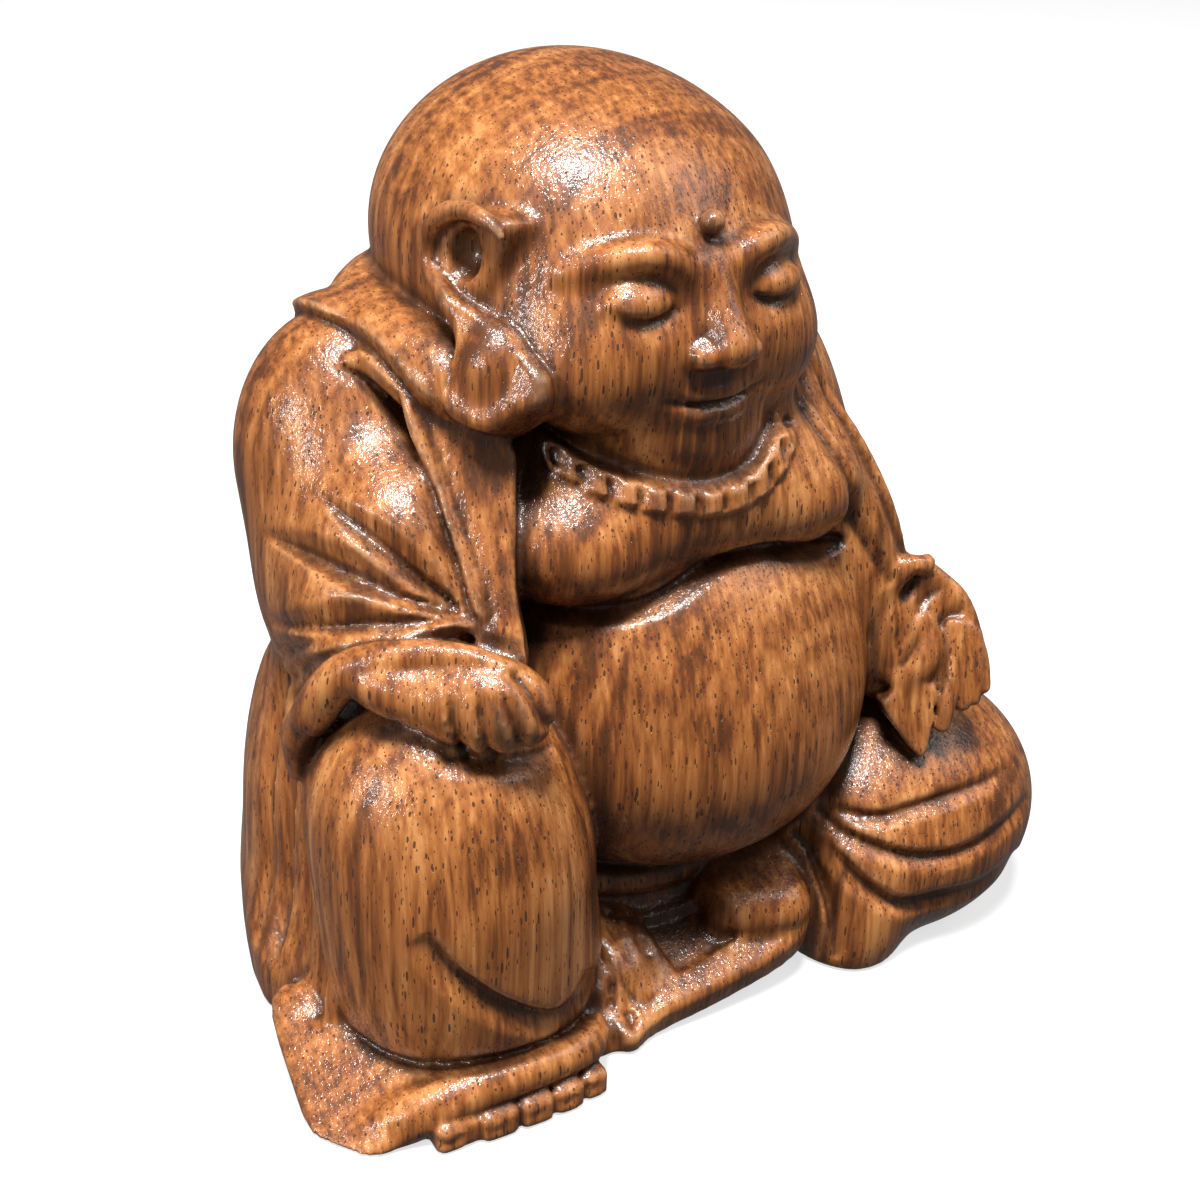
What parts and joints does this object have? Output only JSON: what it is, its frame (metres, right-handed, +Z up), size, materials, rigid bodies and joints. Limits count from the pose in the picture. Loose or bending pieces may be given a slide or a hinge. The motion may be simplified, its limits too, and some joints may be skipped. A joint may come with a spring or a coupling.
{
  "type": "budai figure",
  "caption": "Seated, bald, long-eared monk in an open robe with a bead necklace, carved from one block of varnished hardwood; one knee raised, the other leg folded flat.",
  "frame": {"origin": "centre of the figure's outline seen from above, at the level of its underside", "axes": "+Z up, the figure faces -Y, +X towards the figure's left, where its flat folded leg is"},
  "size_m": [0.1476, 0.0934, 0.15],
  "materials": {
    "wood": "glossy varnish over brown open-pored hardwood, paler where worn and darker in the cuts"
  },
  "bodies": {
    "root": {"figure": "wood"}
  },
  "joints": []
}
